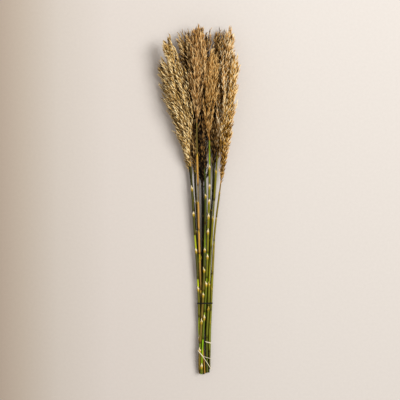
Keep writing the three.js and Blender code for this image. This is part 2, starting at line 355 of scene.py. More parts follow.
def plume_finish(name, dark, body, light):
    """Painted shade at a spikelet's root, its body colour in the middle, painted light at its tip."""
    finish = Finish(name, 0.6)
    patch = finish.noise(45, detail=2.0)
    shade = finish.sums(finish.number("tone"), finish.sums(patch, 0.3, "MULTIPLY"))
    # along carries the colour up the ramp: painted shade at a spikelet's root, painted light at its
    # tip.
    lit = finish.sums(shade, finish.sums(finish.number("along"), 0.55, "MULTIPLY"))
    ramp = finish.ramp(lit, [(0.2, dark), (0.62, body), (1.0, light)])
    return finish.colour(ramp)


def culm_finish(name, low, high, fresh):
    """low and high are the culm's colours at its foot and under its plume. fresh is the
    colour just above a sheath's mouth."""
    finish = Finish(name, 0.38)
    fibre = finish.noise(900, FIBRE)
    patch = finish.noise(45, (1, 0.5, 1))
    up = finish.sums(finish.number("height"), finish.sums(patch, 0.5, "MULTIPLY"))
    body = finish.ramp(up, [(0.25, low), (1.05, high)])
    young = finish.mix(finish.number("fresh"), body, tint(fresh))
    streaks = finish.ramp(fibre, [(0.3, "8c8c80"), (0.62, "ffffff")])
    aged = finish.mix(finish.number("joint"), young, tint(JOINT_COLOUR))
    finish.bump(fibre, 0.12 * MM, 0.5)
    return finish.colour(finish.mix(0.8, aged, streaks, "MULTIPLY"))


def sheath_finish(name, foot, low, high, collar="c4a420", mouth="fff2c4"):
    """From its foot to its torn mouth: dark rim, body colour, yellow collar, cream mouth.
    low and high are the body colours near the cut end and near the plume."""
    finish = Finish(name, 0.5)
    ribs = finish.noise(1400, FIBRE)
    patch = finish.noise(60, (1, 0.3, 1))
    place = finish.sums(finish.number("pale"), finish.sums(patch, 0.12, "MULTIPLY"))
    body = finish.ramp(finish.number("height"), [(0.3, low), (0.5, high)])
    rimmed = finish.mix(finish.share(place, 0.06, 0.16), tint(foot), body)
    yellow = finish.mix(finish.share(place, 0.32, 0.55), rimmed, tint(collar))
    torn = finish.mix(finish.share(place, 0.55, 0.9), yellow, tint(mouth))
    streaks = finish.ramp(ribs, [(0.32, "a49c88"), (0.6, "ffffff")])
    finish.bump(ribs, 0.15 * MM, 0.6)
    return finish.colour(finish.mix(0.7, torn, streaks, "MULTIPLY"))


def band_finish(name, dark, light, roughness):
    """A cord or elastic: two near shades in a fine grain, which is also its relief."""
    finish = Finish(name, roughness)
    grain = finish.noise(700)
    finish.bump(grain, 0.08 * MM, 0.4)
    return finish.colour(finish.ramp(grain, [(0.35, dark), (0.65, light)]))


print("four finishes ready")

# %% [markdown]
# ## What makes the reeds differ
#
# The reeds were cut from one stand, but each dried in its own way. The table gives each
# one's colours from foot to plume and how far above the cut ends its shorter sheaths
# end. The reeds that lie under the others have dark colours that are painted shade. What
# most reeds share stands once, above the table. The three long sheaths of each reed come
# from the CAD model.

# %% The reeds' own colours, plumes and short sheaths
# culm: low, high and fresh colour. sheath: foot, low and high. plume: dark, body, light,
# where dark is painted shade at a spikelet's root and light painted light at its tip.
# sweep: the direction to which a plume's branches open, and spread how much they do.
# shaded: how much darker its lower half is painted, as painted shade from the plumes over
# it. drop: how far below the plume its first loose branches hang, in mm, and skirt how far
# out they reach. top: the least reach of its upper half, in mm. neck: the share of its
# reach at its foot. lean: how much its spikelets stand off their branch. comb: degrees by
# which they lean to the open side. branches: how many it has. girth: the stem's thickness
# against the others'. mouths: where its short sheaths end, in metres above the cut ends.
# young: up to here, in metres, the culm is still green above each mouth. bright: how pale
# the mouths are. blade: from and to in metres, and half width in mm, of a dark strip under
# the stem, painted shade for the gap between the stems.
USUAL = dict(drop=0, skirt=3, neck=0.8, lean=1.0, branches=180, girth=1.0, young=0.35, blade=None)
# Painted shade: the dark culms and sheaths of reed_02, reed_05, reed_08 and reed_10, which lie under
# other reeds, and the dark plumes of reed_05 and reed_10.
OWN_LOOKS = {
    "reed_01": dict(
        culm=("6a680c", "45440f", "bccb00"), sheath=("3f340f", "6f6c16", "4d4d12"),
        plume=("4a3210", "d8b166", "fdeab6"), sweep=np.pi, spread=1.0, shaded=0.0,
        top=14, lean=0.8, comb=24, girth=0.95, mouths=(0.374, 0.087), young=0.33, bright=1.0,
    ),
    "reed_02": dict(
        culm=("3c3d12", "2f3012", "7d7f1c"), sheath=("2c240f", "45430f", "39330f"),
        plume=("3a260e", "b58f50", "eed29a"), sweep=np.pi, spread=1.0, shaded=0.3,
        drop=60, skirt=4, top=18, comb=14, mouths=(0.33, 0.21), bright=0.45,
        blade=(0.004, 0.47, 3.4),
    ),
    "reed_03": dict(
        culm=("a8802c", "7a6a2c", "c4a61c"), sheath=("6d4f1c", "3a3312", "c89c48"),
        plume=("3b230c", "bf8f4f", "f0d096"), sweep=np.pi, spread=0.7, shaded=0.0,
        top=14, neck=0.55, lean=0.7, comb=0, branches=126, girth=0.8, mouths=(0.33, 0.19),
        bright=0.5,
    ),
    "reed_04": dict(
        culm=("84b804", "7d8a10", "93ae08"), sheath=("45450a", "5c6a10", "7a7a12"),
        plume=("2c1804", "b0803c", "e8c482"), sweep=0.0, spread=0.6, shaded=0.0,
        top=11, neck=0.65, lean=0.7, comb=4, branches=126, girth=0.95,
        mouths=(0.437, 0.402, 0.332, 0.275, 0.134, 0.022), young=0.6, bright=1.0,
    ),
    "reed_05": dict(
        culm=("35391a", "2b2812", "7d7f1c"), sheath=("231d0c", "5a6018", "3a3810"),
        plume=("2e1e0a", "9c753c", "e2c084"), sweep=0.0, spread=0.6, shaded=0.3,
        drop=50, skirt=6, top=19, comb=10, mouths=(0.31, 0.15), bright=0.35,
        blade=(0.004, 0.47, 3.4),
    ),
    "reed_06": dict(
        culm=("565e12", "78740f", "90920c"), sheath=("403608", "6b7018", "7c7814"),
        plume=("553812", "dcab60", "ffeec4"), sweep=0.0, spread=0.8, shaded=0.0,
        drop=30, skirt=4, top=11, comb=10, branches=168, girth=0.95, mouths=(0.21,),
        bright=0.6, blade=(0.004, 0.4, 3.4),
    ),
    "reed_07": dict(
        culm=("5b5a14", "8d7020", "88880e"), sheath=("44370f", "747a1c", "857822"),
        plume=("5c3d0c", "dba94e", "ffedc0"), sweep=0.0, spread=0.9, shaded=0.3,
        top=8, neck=0.9, comb=9, girth=0.8, mouths=(0.36, 0.2), bright=0.4,
        blade=(0.02, 0.36, 3.6),
    ),
    "reed_08": dict(
        culm=("2c2e10", "26280e", "6d7a14"), sheath=("211c0a", "3a3c10", "2e2a0c"),
        plume=("503b16", "cbaa66", "fbe9b8"), sweep=np.pi, spread=1.0, shaded=0.0,
        drop=40, top=12, lean=0.9, comb=20, mouths=(0.33, 0.16), bright=0.6,
        blade=(0.004, 0.48, 3.6),
    ),
    "reed_09": dict(
        culm=("8c6a1c", "4d5812", "76880f"), sheath=("4d3510", "78661f", "4c5614"),
        plume=("1c1107", "b08448", "f0d49c"), sweep=0.0, spread=0.8, shaded=0.7,
        drop=70, skirt=7, top=18, neck=0.7, lean=0.9, comb=8, branches=140,
        mouths=(0.244, 0.125, 0.059), bright=0.9, blade=(0.27, 0.53, 3.2),
    ),
    "reed_10": dict(
        culm=("3a3c12", "120f07", "2f2f10"), sheath=("16120a", "4c5216", "1a160a"),
        plume=("120b05", "6b4f2a", "b08a54"), sweep=np.pi, spread=0.5, shaded=0.6,
        drop=75, skirt=5, top=11, lean=0.9, comb=0, mouths=(0.31, 0.18), bright=0.3,
        blade=(0.004, 0.52, 4.4),
    ),
}
LOOKS = {reed: USUAL | own for reed, own in OWN_LOOKS.items()}
print("reeds with a look of their own:", len(LOOKS))

# %% [markdown]
# ## Where the sheaths sit
#
# A sheath grows from a joint and covers the stem up to its mouth, and the next one
# starts above it. So the feet of the sheaths say where the culm's joints are, and they
# are worked out before the culms.

# %% Where each reed's sheaths start and end
SHEATH_MARGIN = 2.5 * MM
SHORT_SHEATH = 52 * MM


def sheath_spans(reed):
    """(foot, mouth, CAD node or None) for each sheath, from the lowest up. A sheath's
    foot stays above the mouth of the one below it."""
    long_ones = []
    for place in ("lower", "middle", "upper"):
        low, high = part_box(f"{reed}_sheath_{place}")
        long_ones.append((low[1], high[1], f"{reed}_sheath_{place}"))
    short_ones = [
        (CUT_END + mouth - SHORT_SHEATH, CUT_END + mouth, None) for mouth in LOOKS[reed]["mouths"]
    ]
    spans, below = [], CULM_LINES[reed][0, 1]
    for foot, mouth, node in sorted(long_ones + short_ones, key=lambda span: span[1]):
        spans.append((max(foot, below + SHEATH_MARGIN), mouth, node))
        below = mouth
    return spans


SPANS = {reed: sheath_spans(reed) for reed in REEDS}
print("sheaths in all:", sum(len(spans) for spans in SPANS.values()))

# %% [markdown]
# ## Culms
#
# A culm is a slim hollow tube, slightly swollen at each joint, where a sheath is rooted.
# The cut end shows a thin wall round an open bore. One closed profile carried along the
# reed's centre line gives all of it: the profile starts at the floor of the bore, comes
# out over the cut rim and runs up the outside. A plain cylinder would miss the joints,
# the taper and the bore.

# %% Culms
CULM_RADIUS = 2.15 * MM
CULM_SIDES = 16
CULM_ROWS = 220
CULM_TAPER = 0.14
JOINT_SWELL = 0.13
JOINT_LENGTH = 1.6 * MM
JOINT_RING = 1.0 * MM
FRESH_LENGTH = 40 * MM
BORE_SHARE = 0.62
BORE_DEPTH = 6 * MM
RIM_ROUND = 0.2 * MM


def culm_surface(reed):
    """The radius at y is (1 - taper * share) * (1 + swell * exp(-(d / joint length)^2))
    of the culm's, where share is the way up it and d the distance to a joint. The first
    four rings are the bore's floor, its wall and the cut rim, all square to the stem."""
    line, spans = CULM_LINES[reed], SPANS[reed]
    cut, top = line[0, 1], line[-1, 1]
    y = np.linspace(cut, top, CULM_ROWS)
    joints, mouths = np.array([span[:2] for span in spans]).T
    share = (y - cut) / (top - cut)
    nearest = np.abs(y[:, None] - joints).min(axis=1)
    culm_radius = CULM_RADIUS * LOOKS[reed]["girth"]
    swell = 1 + JOINT_SWELL * np.exp(-((nearest / JOINT_LENGTH) ** 2))
    radii = culm_radius * (1 - CULM_TAPER * share) * swell
    above = np.where(y[:, None] > mouths, y[:, None] - mouths, 1.0).min(axis=1)
    young = y < CUT_END + LOOKS[reed]["young"]
    fresh = np.where(young, np.exp(-((above / FRESH_LENGTH) ** 4)), 0.0)
    joint = 0.8 * np.exp(-((nearest / JOINT_RING) ** 2))

    rim = culm_radius * np.array([0.02, BORE_SHARE, BORE_SHARE, 0.93])
    rim_y = cut + np.array([BORE_DEPTH, BORE_DEPTH, 0.15 * MM, 0.0])
    path = on_line(line, np.concatenate([rim_y, y]))
    path[len(rim), 1] = cut + RIM_ROUND
    stem = on_line(line, y)
    run_up = stem[0] - np.outer(np.arange(len(rim), 0, -1), [0, MM, 0])
    guide = np.concatenate([run_up, stem])
    grid = carried_circle(guide, np.concatenate([rim, radii]), CULM_SIDES)
    points, faces, row = capped(grid + (path - guide)[:, None], path)
    inside = np.zeros(len(rim))
    values = {
        "height": np.concatenate([inside, share])[row],
        "fresh": np.concatenate([inside, fresh])[row],
        # The bore and the cut rim take 0.6 of the dark joint colour: in the deep bore this is painted
        # shade.
        "joint": np.concatenate([inside + 0.6, joint])[row],
    }
    return points, faces, values


for reed in REEDS:
    low, high, fresh = LOOKS[reed]["culm"]
    finish = culm_finish(f"{reed}_culm_skin", low, high, fresh)
    make_piece(f"{reed}_stem", *culm_surface(reed), finish, "culm", [f"{reed}_culm"])
print("triangles in the culms:", sum(TRIANGLES))

# %% [markdown]
# ## Leaf sheaths
#
# Each leaf wraps the stem as a thin sheath before its blade leaves it. The blades were
# pulled off this bundle, so every sheath ends in a torn, pale mouth with a stub of the
# blade. A sheath is a thin wall with a slit down one side, so it is made as a closed
# wall: the columns of the grid run round the outside and back along the inside, and the
# two ends are bridged. Solidify would also give a wall, but not one that thins to its
# torn edge.

# %% Sheath wall
SHEATH_INNER = 2.3 * MM
SHEATH_WALL = 0.42 * MM
SHEATH_COLUMNS = 16
SHEATH_ROWS = 14
SLIT = 0.12
TEAR = 1.1 * MM
SLANT = 2.4 * MM
FLARE = 0.45 * MM
TUCK = 0.2 * MM
OVERLAP = 0.22 * MM
PALE_LENGTH = 6.5 * MM
DARK_RIM = 1.6 * MM


def sheath_wall(line, foot, mouth, turn, look, rng):
    """Points at angle a and height v: the radius grows by a flare at the mouth, and the
    top edge dips away from the blade's side by a slant and a ragged tear."""
    around = np.linspace(-np.pi + SLIT, np.pi - SLIT, SHEATH_COLUMNS)
    tear = rng.uniform(-TEAR, TEAR, SHEATH_COLUMNS) - SLANT * (1 - np.cos(around)) / 2
    v = np.linspace(0, 1, SHEATH_ROWS) ** 0.8
    y = foot + v[:, None] * (mouth + tear - foot)
    flare = FLARE * np.exp(-((1 - v[:, None]) / 0.07)) * (0.6 + 0.4 * np.cos(around))
    tuck = TUCK * np.exp(-v[:, None] / 0.05)
    inner = SHEATH_INNER + flare - tuck + 0 * y
    wall = SHEATH_WALL * (1 - 0.55 * v[:, None] ** 6)
    overlap = OVERLAP * np.clip(np.abs(around) - 2.6, 0, None)
    radii = look["girth"] * np.concatenate([inner + wall + overlap, (inner + overlap)[:, ::-1]], axis=1)
    angles = np.concatenate([around, around[::-1]]) + turn
    ys = np.concatenate([y, y[:, ::-1]], axis=1)
    centres = on_line(line, ys)
    spoke = np.stack([np.cos(angles), 0 * angles, np.sin(angles)], axis=-1)
    points = (centres + radii[..., None] * spoke).reshape(-1, 3)
    faces = strip_faces(SHEATH_ROWS, 2 * SHEATH_COLUMNS)
    pale = look["bright"] * np.exp(-(mouth - y) / PALE_LENGTH) + 0.09
    pale = np.where(y < foot + DARK_RIM, 0.02, pale)
    return points, faces, {"pale": np.concatenate([pale, pale[:, ::-1]], axis=1).ravel()}


print("sheath wall at its body in mm:", round(SHEATH_WALL / MM, 2))

# %% [markdown]
# ## The stub of a torn blade
#
# When a leaf is pulled off, a short tongue of its blade stays on the sheath's mouth and
# dries cream. It is flat, so its rings are ellipses, wide across and thin outward.

# %% Blade stub
STUB_LENGTHS = (9, 13)
STUB_ROWS = 9
STUB_SIDES = 10
STUB_WIDTH = 1.45 * MM
STUB_DEPTH = 0.7 * MM
STUB_BELOW_MOUTH = 6.5 * MM
STUB_OFF_AXIS = 2.35 * MM


def blade_stub(line, mouth, turn, look, rng):
    """A tongue whose half width is sin(pi * t^0.6)^0.8, leaning out from the stem as t^2."""
    length = rng.uniform(*STUB_LENGTHS) * MM
    t = np.linspace(0.04, 0.97, STUB_ROWS)
    outward = np.array([np.cos(turn), 0, np.sin(turn)])
    foot = on_line(line, np.array([mouth - STUB_BELOW_MOUTH]))[0]
    start = foot + outward * STUB_OFF_AXIS * look["girth"]
    lean = rng.uniform(0.9, 1.9) * MM
    path = start + np.outer(t * length, [0, 1, 0]) + np.outer(lean * t**2, outward)
    swell = np.sin(np.pi * t**0.6) ** 0.8
    along = unit(np.gradient(path, axis=0))
    across = unit(np.cross(along, outward))
    angle = np.linspace(0, 2 * np.pi, STUB_SIDES, endpoint=False)[None, :, None]
    ring = STUB_WIDTH * np.cos(angle) * across[:, None] + STUB_DEPTH * np.sin(angle) * outward
    points, faces, row = capped(path[:, None] + swell[:, None, None] * ring, path)
    pale = (0.35 + 0.8 * t) * look["bright"]
    return points, faces, {"pale": pale[row]}


print("stubs are long in mm:", STUB_LENGTHS)

# %% [markdown]
# ## Dark strips under the stems
#
# A dark strip under some stems fills the gaps between them with brown and olive. It is
# painted shade: a dark sheet put where shade falls between the stems. Each is a thin strip
# under its stem that narrows at both ends. It stays above the surface that the bundle lies
# on.

# %% Dark strip of painted shade under a stem
BLADE_ROWS = 70
BLADE_COLUMNS = 7
BLADE_BELOW_STEM = 2.9 * MM
BLADE_DROOP = 1.2 * MM
BLADE_THICKNESS = 0.35 * MM
BLADE_SWAY = 0.8 * MM
BLADE_LEAST_SHARE = 0.12
BLADE_LEAST_HEIGHT = 0.3 * MM


def shade_strip(line, start, end, half_width, rng):
    """A strip whose edges droop as the square of their distance from its rib, and whose
    half width is (1 - t^4) * (1 - (1 - t)^8) of its widest."""
    y = CUT_END + np.linspace(start, end, BLADE_ROWS)
    t = np.linspace(0, 1, BLADE_ROWS)[:, None]
    across = np.linspace(1, -1, BLADE_COLUMNS)[None]
    sway = BLADE_SWAY * np.sin(9 * t + rng.uniform(0, 6))
    narrowing = np.maximum((1 - t**4) * (1 - (1 - t) ** 8), BLADE_LEAST_SHARE)
    reach = half_width * MM * narrowing
    centre = on_line(line, y)[:, None]
    drop = -BLADE_BELOW_STEM - BLADE_DROOP * across**2
    shift = np.stack([across * reach + sway, 0 * across * reach, drop + 0 * reach], axis=-1)
    top = centre + shift
    back = top[:, ::-1] - [0, 0, BLADE_THICKNESS]
    points = np.concatenate([top, back], axis=1)
    points[..., 2] = np.maximum(points[..., 2], BLADE_LEAST_HEIGHT)
    faces = strip_faces(BLADE_ROWS, 2 * BLADE_COLUMNS)
    return points.reshape(-1, 3), faces, {"pale": 0.16}


# Each strip is a dark sheet of painted shade under its stem.
print("old blades:", sum(look["blade"] is not None for look in LOOKS.values()))

# %% [markdown]
# ## Dressing the stems
#
# Each sheath turns a little from the one below it, so no two mouths look alike. A seed
# fixes the random numbers, and the same bundle comes out on every run.

# %% Sheaths, three long ones and the short ones of each reed
SHEATH_SEED = 7
MOST_TURN = 0.55
rng = np.random.default_rng(SHEATH_SEED)
for reed in REEDS:
    line, look = CULM_LINES[reed], LOOKS[reed]
    finish = sheath_finish(f"{reed}_sheath_skin", *look["sheath"])
    for n, (foot, mouth, node) in enumerate(SPANS[reed]):
        turn = np.pi / 2 + rng.uniform(-MOST_TURN, MOST_TURN)
        wall = sheath_wall(line, foot, mouth, turn, look, rng)
        stub = blade_stub(line, mouth, turn, look, rng)
        points, faces, values = joined([wall, stub])
        values["height"] = height_on(line, points[:, 1])
        name = f"{reed}_leaf_{n + 1}"
        make_piece(name, points, faces, values, finish, "sheath", [node] if node else [])
    if look["blade"]:
        # A dark strip under the stem, painted shade for the gap between the stems.
        points, faces, values = shade_strip(line, *look["blade"], rng)
        values["height"] = height_on(line, points[:, 1])
        make_piece(f"{reed}_shade_strip", points, faces, values, finish, "sheath", [])
print("triangles so far:", sum(TRIANGLES))

# %% [markdown]
# ## Plumes
#
# A plume is a panicle: a thin axis, many side branches that rise from it, and hundreds
# of small pointed spikelets crowded along every branch. Hair particles would look
# alike but the export drops them, so the spikelets are real meshes. Each one is a slim
# lance of two dozen triangles, and the whole plume is computed as arrays: branch by
# place along it by corner of the lance.
#
# The CAD spindle gives the room. For each direction round the axis and each height, it
# says how far the plume reaches, and a branch climbs from the axis to a share of that.

# %% The room each plume fills
DIRECTIONS = np.linspace(-np.pi, np.pi, 49)


def plume_room(reed):
    """The reed's centre line up through its plume, the places of the plume's rings, and
    the reach in each direction at each ring."""
    rings = rings_of(f"{reed}_plume")
    centres = np.array([ring.mean(axis=0) for ring in rings])
    reach = []
    for ring, centre in zip(rings, centres):
        offset = ring - centre
        angle = np.arctan2(offset[:, 2], offset[:, 0])
        order = np.argsort(angle)
        radius = np.hypot(offset[:, 0], offset[:, 2])[order]
        reach.append(np.interp(DIRECTIONS, angle[order], radius, period=2 * np.pi))
    eased = centres.copy()
    eased[1:-1] = (centres[:-2] + 2 * centres[1:-1] + centres[2:]) / 4
    return np.concatenate([CULM_LINES[reed][:-1], eased]), centres[:, 1], np.array(reach)


def reach_at(reach, y_of_rings, y, angle):
    """Reach between rings and directions, each mixed in a straight line."""
    row = np.interp(y, y_of_rings, np.arange(len(y_of_rings)))
    column = (np.mod(angle + np.pi, 2 * np.pi)) / (2 * np.pi) * (len(DIRECTIONS) - 1)
    i = np.clip(row.astype(int), 0, len(y_of_rings) - 2)
    j = np.clip(column.astype(int), 0, len(DIRECTIONS) - 2)
    a, b = row - i, column - j
    low = reach[i, j] * (1 - b) + reach[i, j + 1] * b
    high = reach[i + 1, j] * (1 - b) + reach[i + 1, j + 1] * b
    return low * (1 - a) + high * a


print("rings in a plume:", len(plume_room("reed_01")[1]))

# %% [markdown]
# ## Spikelets
#
# A spikelet is a small pointed husk, widest near its middle. Three rings of four corners
# between two points are enough for its shape, because it is drawn thousands of times.
# All of a plume's spikelets are worked out in one go.

# %% Spikelets as one array of lances
LANCE_T = np.array([0.14, 0.45, 0.78])
LANCE_SWELL = np.array([0.7, 1.0, 0.52])
LANCE_BEND = 0.1
LANCE_POINTS = 14
LANCE_CORNERS = np.array([[1, 0], [0, -1], [-1, 0], [0, 1]])


def lances(base, heading, outward, length, width, depth, tone):
    """Each lance runs from its base along its heading. At t its corners stand off by its
    half width and half depth times the swell, and it bends outward as t^2."""
    side = unit(np.cross(heading, outward))
    face = np.cross(side, heading)
    bend = (LANCE_BEND * length)[:, None] * face
    middle = base[:, None] + (length[:, None] * LANCE_T)[..., None] * heading[:, None]
    middle = middle + (LANCE_T**2)[None, :, None] * bend[:, None]
    wide = (width[:, None] * LANCE_SWELL)[:, :, None, None] * side[:, None, None]
    deep = (depth[:, None] * LANCE_SWELL)[:, :, None, None] * face[:, None, None]
    spokes = LANCE_CORNERS[:, :1] * wide + LANCE_CORNERS[:, 1:] * deep
    corners = middle[:, :, None] + spokes
    tip = base + length[:, None] * heading + bend
    corners = corners.reshape(len(base), -1, 3)
    points = np.concatenate([base[:, None], corners, tip[:, None]], axis=1)
    j = np.arange(4)
    k = (j + 1) % 4
    foot = np.stack([0 * j, 1 + k, 1 + j], axis=1)
    bands = np.concatenate([
        np.stack([1 + r + j, 1 + r + k, 5 + r + k, 5 + r + j], axis=1) for r in (0, 4)
    ])
    head = np.stack([9 + j, 9 + k, 13 + 0 * j], axis=1)
    shift = (LANCE_POINTS * np.arange(len(base)))[:, None, None]
    faces = [(rows + shift).reshape(-1, rows.shape[1]) for rows in (foot, bands, head)]
    along = np.concatenate([[0.0], np.repeat(LANCE_T, 4), [1.0]])
    values = {"along": np.tile(along, len(base)), "tone": np.repeat(tone, LANCE_POINTS)}
    return points.reshape(-1, 3), faces, values


print("points in a spikelet:", LANCE_POINTS)

# %% [markdown]
# ## Branches
#
# Branches leave the axis one after another, each turned from the last by the golden
# angle, so they never line up. A plume that dried on its side has opened one way: there
# its branches are shorter and stand out straight, and on the other side they bow and run
# beside the axis. Towards the tip, a branch ends lower the further out it reaches, which
# keeps the plume pointed.

# %% How the branches of one plume run
GOLDEN = np.pi * (3 - np.sqrt(5))
TIP_MARGIN = 6 * MM
BRANCH_LENGTHS = (44, 72)
SHORTEST_BRANCH = 9 * MM
LEAST_BRANCH_HEIGHT = 1.5 * MM
INNER_SHARE = 0.38
STRAY_SHARE = 0.1
STRAY_REACH = 1.35
MOST_BOW = 0.35
TWIST = 0.2


def branch_plan(reed, rng):
    """For every branch: its root, its turn round the axis, its length, the shares of the
    reach at which it starts and ends, and its bow."""
    look = LOOKS[reed]
    line, y_of_rings, reach = plume_room(reed)
    count = look["branches"]
    foot, tip = y_of_rings[0] - look["drop"] * MM, y_of_rings[-1] - TIP_MARGIN
    order = (np.arange(count) + 0.5) / count
    root = foot + (tip - foot) * (0.87 * order**0.8 - 0.01)
    turn = GOLDEN * np.arange(count) + rng.uniform(-0.4, 0.4, count)
    open_side = look["spread"] * (1 + np.cos(turn - look["sweep"])) / 2
    length = rng.uniform(*BRANCH_LENGTHS, count) * MM * (1 - 0.35 * open_side)
    length *= np.interp(order, [0, 0.12, 1], [0.75, 1.0, 0.85])
    inner = rng.random(count) < INNER_SHARE
    end = np.where(inner, rng.uniform(0.15, 0.6, count), rng.uniform(0.72, 1.05, count))
    end = np.where(rng.random(count) < STRAY_SHARE, end * STRAY_REACH, end)
    below_tip = (20 * end**2 - rng.uniform(-5, 9, count)) * MM
    length = np.maximum(np.minimum(length, tip - root - below_tip), SHORTEST_BRANCH)
    start = end * (1 - 0.55 * look["spread"] - 0.4 * open_side)
    start *= rng.uniform(0.3, 1.0, count)
    return dict(
        look=look, line=line, room=(reach, y_of_rings), foot=foot, tip=tip, root=root,
        turn=turn, length=length, inner=inner, start=start, end=end,
        bow=MOST_BOW * (1 - open_side),
    )


def branch_at(plan, u):
    """Places on every branch at its own u, as (branches, places, 3). The share of the
    reach there is start + (end - start) * (u + bow * sin(pi * u))."""
    foot, tip, look = plan["foot"], plan["tip"], plan["look"]
    start, end = plan["start"][:, None], plan["end"][:, None]
    y = plan["root"][:, None] + plan["length"][:, None] * u
    held = np.minimum(y, tip)
    angle = plan["turn"][:, None] + TWIST * u
    opening = u + plan["bow"][:, None] * np.sin(np.pi * np.clip(u, 0, 1))
    heights = foot + (tip - foot) * np.array([0, 0.5, 1])
    least = np.interp(held, heights, np.array([look["skirt"], look["top"], look["top"]]) * MM)
    narrowing = np.interp(held, heights[:2], [look["neck"], 1])
    room = np.maximum(narrowing * reach_at(*plan["room"], held, angle), least)
    away = (start + (end - start) * opening) * room
    spoke = np.stack([np.cos(angle), 0 * angle, np.sin(angle)], axis=-1)
    places = on_line(plan["line"], held) + (y - held)[..., None] * [0, 1, 0]
    places = places + away[..., None] * spoke
    places[..., 2] = np.maximum(places[..., 2], LEAST_BRANCH_HEIGHT)
    return places


print("branches in all plumes:", sum(look["branches"] for look in LOOKS.values()))

# %% [markdown]
# ## Spikelets along the branches
#
# Spikelets climb a branch at even steps, again turned by the golden angle. They hug it
# at its root, stand off it most a third of the way up, and close up towards its tip, and
# all of them lean to the plume's open side. Spikelets on branches that reach further out
# are painted lighter, as painted light, and those on inner branches that end deep inside
# a plume darker, as painted shade. The lower half of a plume marked shaded is painted
# darker as well, as painted shade from the plumes over it.

# %% Spikelets of one plume
ALL_SPIKELETS = 2520
SPIKELET_LENGTH = 13.0 * MM
SPIKELET_WIDTH = 1.25 * MM
SPIKELET_DEPTH = 0.85 * MM
LEAN_PLACES = [0, 0.35, 1]
LEAN_DEGREES = [7, 20, 8]
SIZE_PLACES = [0, 0.3, 1]
SIZES = [0.8, 1.0, 0.85]
DEEP = 40 * MM
STEP = 0.04


def spikelet_headings(plan, u, ahead, rng):
    """Each points along its branch, plus its lean outward, plus tan(comb) to the open side."""
    look = plan["look"]
    side = unit(np.cross(ahead, UP))
    over = np.cross(side, ahead)
    spin = GOLDEN * np.arange(u.shape[1])[None] + rng.uniform(0, 6.3, (len(u), 1))
    out = np.cos(spin)[..., None] * side + np.sin(spin)[..., None] * over
    lean = look["lean"] * np.interp(u, LEAN_PLACES, LEAN_DEGREES) + rng.uniform(-6, 6, u.shape)
    lean = np.radians(lean)[..., None]
    open_way = np.array([np.cos(look["sweep"]), 0, np.sin(look["sweep"])])
    combed = np.tan(np.radians(look["comb"])) * rng.uniform(0.5, 1.4, u.shape)[..., None]
    return unit(np.cos(lean) * ahead + np.sin(lean) * out + combed * open_way), out


def spikelets(plan, rng):
    """All spikelets of a plume, with the colour number that its finish reads: random variation, painted
    light and painted shade.
    """
    foot, tip, root, length = (plan[key] for key in ("foot", "tip", "root", "length"))
    count = len(root)
    each = ALL_SPIKELETS // count
    u = np.linspace(0.06, 1.0, each)[None] + rng.uniform(-0.02, 0.02, (count, each))
    base = branch_at(plan, u)
    ahead = unit(branch_at(plan, u + STEP) - branch_at(plan, u - STEP))
    heading, out = spikelet_headings(plan, u, ahead, rng)
    size = np.interp(u, SIZE_PLACES, SIZES) * rng.uniform(0.75, 1.2, u.shape)
    # Random variation, painted lighter on branches that reach further out: painted light.
    tone = rng.uniform(-0.38, 0.38, u.shape) + 0.25 * plan["end"][:, None]
    # Inner branches that end deep below the plume's tip are painted darker: painted shade.
    buried_shade = np.clip((tip - root - length) / DEEP, 0, 1)
    tone -= np.where(plan["inner"], 0.5 * buried_shade, 0.0)[:, None]
    # The lower half of a plume is painted darker by its shaded share: painted shade.
    lower = np.interp(root + length / 2, [foot, foot + 0.6 * (tip - foot)], [1, 0])
    tone -= plan["look"]["shaded"] * lower[:, None]
    return lances(
        base.reshape(-1, 3), heading.reshape(-1, 3), out.reshape(-1, 3),
        SPIKELET_LENGTH * size.ravel(), SPIKELET_WIDTH * size.ravel(),
        SPIKELET_DEPTH * size.ravel(), tone.ravel(),
    )


print("spikelets in one plume:", ALL_SPIKELETS)

# %% [markdown]
# ## Whole plumes
#
# Under the spikelets, every branch has a thin stalk and the plume has its axis, which
# carries on from the culm. They close the gaps when a plume is seen from near. Whatever
# would dip through the surface below is pressed flat onto it, as in a bundle that lies.

# %% Stalks, axis and the ten plumes
PLUME_SEED = 21
STALK_ROWS = 6
STALK_RADII = (0.45, 0.22)
STALK_SIDES = 4
AXIS_ROWS = 60
AXIS_RADII = (1.35, 0.4)
AXIS_SIDES = 8
LEAST_HEIGHT = 0.2 * MM


def plume_surface(reed, rng):
    """Spikelets, a stalk for each branch, and the axis, joined in one mesh."""
    plan = branch_plan(reed, rng)
    foot, tip = plan["foot"], plan["tip"]
    parts = [spikelets(plan, rng)]
    steps = np.linspace(0, 0.95, STALK_ROWS)[None] * np.ones((len(plan["root"]), 1))
    stalk_radii = np.linspace(*STALK_RADII, STALK_ROWS) * MM
    for stalk in branch_at(plan, steps):
        points, faces, _ = closed_tube(stalk, stalk_radii, STALK_SIDES)
        parts.append((points, faces, {"along": 0.2, "tone": 0.0}))
    axis_y = np.linspace(foot - 0.5 * MM, tip - 0.06 * (tip - foot), AXIS_ROWS)
    axis_radii = np.linspace(*AXIS_RADII, AXIS_ROWS) * MM
    points, faces, _ = closed_tube(on_line(plan["line"], axis_y), axis_radii, AXIS_SIDES)
    parts.append((points, faces, {"along": 0.4, "tone": 0.1}))
    points, faces, values = joined(parts)
    points[:, 2] = np.maximum(points[:, 2], LEAST_HEIGHT)
    return points, faces, values


rng = np.random.default_rng(PLUME_SEED)
for reed in REEDS:
    finish = plume_finish(f"{reed}_plume_straw", *LOOKS[reed]["plume"])
    make_piece(f"{reed}_panicle", *plume_surface(reed, rng), finish, "plume", [f"{reed}_plume"])
print("triangles so far:", sum(TRIANGLES))

